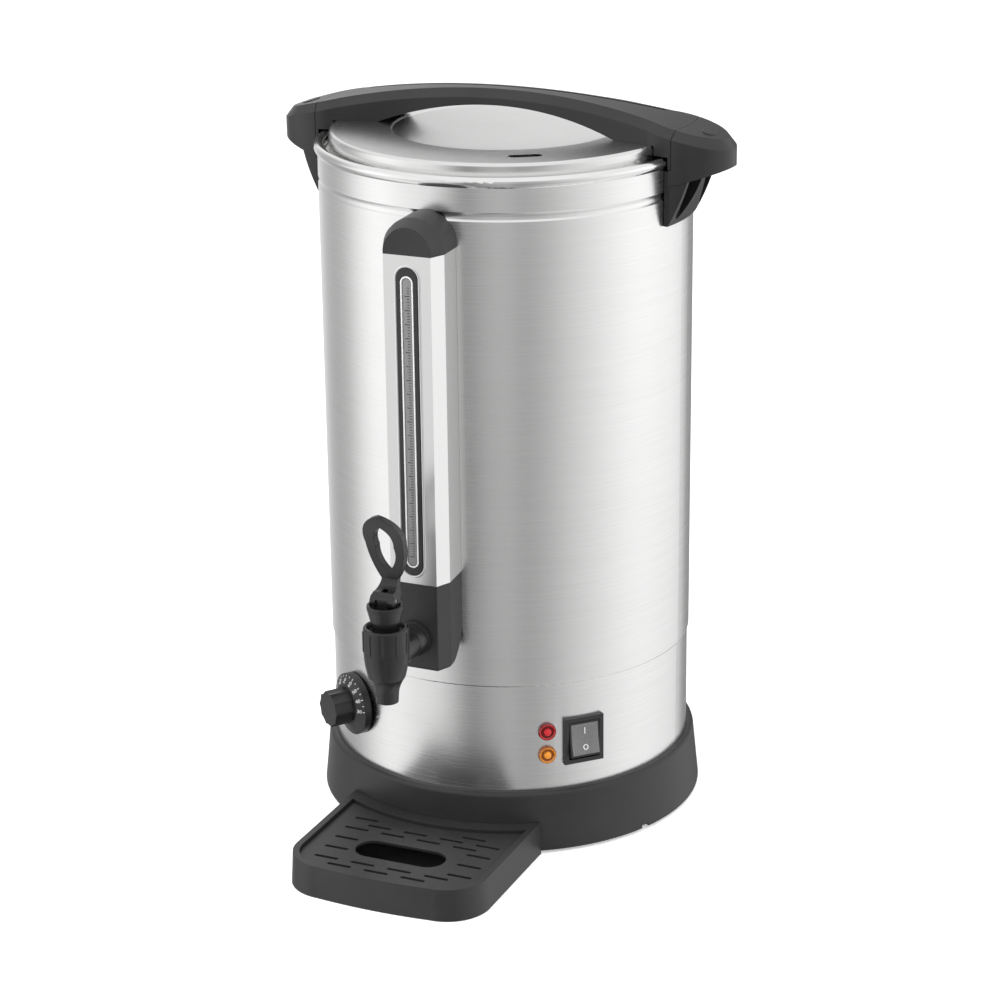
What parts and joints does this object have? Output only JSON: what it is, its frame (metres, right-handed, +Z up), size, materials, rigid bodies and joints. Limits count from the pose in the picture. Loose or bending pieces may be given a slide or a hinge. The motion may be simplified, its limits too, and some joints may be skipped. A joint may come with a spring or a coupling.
{
  "type": "hot water urn",
  "caption": "Cylindrical steel hot water urn on a flared base, with a lift-off lid and bridge bar, side handles, sight gauge column, lever tap, drip tray, thermostat knob and rocker switch.",
  "frame": {"origin": "centre of the bounding box's bottom, on the surface that the rubber feet stand on", "axes": "+Z up along the body's axis, -Y to the front with the tap and tray, +X to the right as seen from the front"},
  "size_m": [0.352, 0.3986, 0.543],
  "materials": {
    "body_steel": "satin",
    "tank_steel": "satin",
    "lid_steel": "polished",
    "column_steel": "satin",
    "floor_sheet": "matt",
    "base_plastic": "satin",
    "bar_plastic": "satin",
    "cap_plastic": "semi-gloss",
    "insert_plastic": "gloss",
    "tap_plastic": "semi-gloss",
    "tray_plastic": "satin",
    "knob_plastic": "satin",
    "switch_plastic": "semi-gloss",
    "manifold_plastic": "matt",
    "terminal_plastic": "matt",
    "foot_rubber": "matt",
    "seal_rubber": "matt",
    "tube_glass": "clear",
    "fitting_brass": "plain",
    "fastener_steel": "plain",
    "heating_plate": "cast",
    "element_sheath": "dull",
    "cutout_body": "plain",
    "red_lens": "gloss",
    "amber_lens": "gloss",
    "bezel_chrome": "polished"
  },
  "bodies": {
    "root": {"outer_shell": "body_steel", "inner_tank": "tank_steel", "tank_floor_plate": "tank_steel", "tank_rim": "tank_steel", "lower_band": "body_steel", "base_ring": "base_plastic", "base_plate": "floor_sheet", "base_screws": "fastener_steel", "rubber_feet": "foot_rubber", "heating_plate": "heating_plate", "heating_element": "element_sheath", "keep_warm_element": "element_sheath", "thermal_cutout": "cutout_body", "thermostat_bulb": "element_sheath", "terminal_block": "terminal_plastic", "handle_right": "bar_plastic", "handle_left": "bar_plastic", "handle_screws": "fastener_steel", "handle_plates": "floor_sheet", "gauge_cover": "column_steel", "gauge_insert": "insert_plastic", "sight_tube": "tube_glass", "tube_seals": "seal_rubber", "gauge_cap": "cap_plastic", "tap_housing": "cap_plastic", "level_manifold": "manifold_plastic", "tap_shank": "fitting_brass", "tank_nut": "fitting_brass", "shank_washers": "seal_rubber", "tap_body": "tap_plastic", "tap_bonnet": "tap_plastic", "thermostat_body": "terminal_plastic", "lamp_red": "red_lens", "lamp_amber": "amber_lens", "lamp_bezels": "bezel_chrome", "lamp_holders": "manifold_plastic", "switch_frame": "switch_plastic", "switch_body": "switch_plastic", "power_inlet": "switch_plastic", "inlet_pins": "fitting_brass"},
    "lid_seal_ring": {"lid_seal": "seal_rubber"},
    "lid": {"lid_cover": "lid_steel", "lid_liner": "tank_steel", "lid_screws": "fastener_steel", "lid_bar": "bar_plastic"},
    "tap_handle": {"tap_lever": "tap_plastic", "lever_pin": "fastener_steel"},
    "tap_valve": {"tap_stem": "fastener_steel", "seat_cup": "seal_rubber"},
    "thermostat_knob": {"knob_dial": "knob_plastic", "knob_grip": "knob_plastic", "thermostat_spindle": "fastener_steel"},
    "rocker": {"switch_rocker": "switch_plastic"},
    "tray": {"drip_tray": "tray_plastic"},
    "grille": {"drip_grille": "tray_plastic"}
  },
  "joints": [
    {"name": "lid_lift", "type": "slide", "parent": "root", "child": "lid_seal_ring", "axis": [0, 0, 1], "range_m": [0, 0.12]},
    {"name": "lid_turn", "type": "hinge", "parent": "lid_seal_ring", "child": "lid", "pos_m": [0, 0.05365, 0.5], "axis": [0, 0, 1], "range_deg": [0, 25]},
    {"name": "tap_lever", "type": "hinge", "parent": "root", "child": "tap_handle", "pos_m": [0, -0.16385, 0.2246], "axis": [1, 0, 0], "range_deg": [0, 30], "stiffness_Nm_per_rad": 0.3, "springref_deg": -28.65},
    {"name": "tap_valve", "type": "slide", "parent": "root", "child": "tap_valve", "axis": [0, 0, 1], "range_m": [0, 0.003]},
    {"name": "thermostat_turn", "type": "hinge", "parent": "root", "child": "thermostat_knob", "pos_m": [-0.07789, -0.05759, 0.0915], "axis": [-0.5736, -0.8192, 0], "range_deg": [-200, 0]},
    {"name": "rocker_switch", "type": "hinge", "parent": "root", "child": "rocker", "pos_m": [0.09585, -0.03827, 0.0845], "axis": [0.6921, 0.7218, 0], "range_deg": [0, 20]},
    {"name": "tray_slide", "type": "slide", "parent": "root", "child": "tray", "axis": [0, -1, 0], "range_m": [0, 0.12]},
    {"name": "grille_lift", "type": "slide", "parent": "tray", "child": "grille", "axis": [0, 0, 1], "range_m": [0, 0.06]}
  ],
  "couplings": [
    {"joint": "tap_valve", "follows": "tap_lever", "m_per_rad": 0.00572}
  ]
}
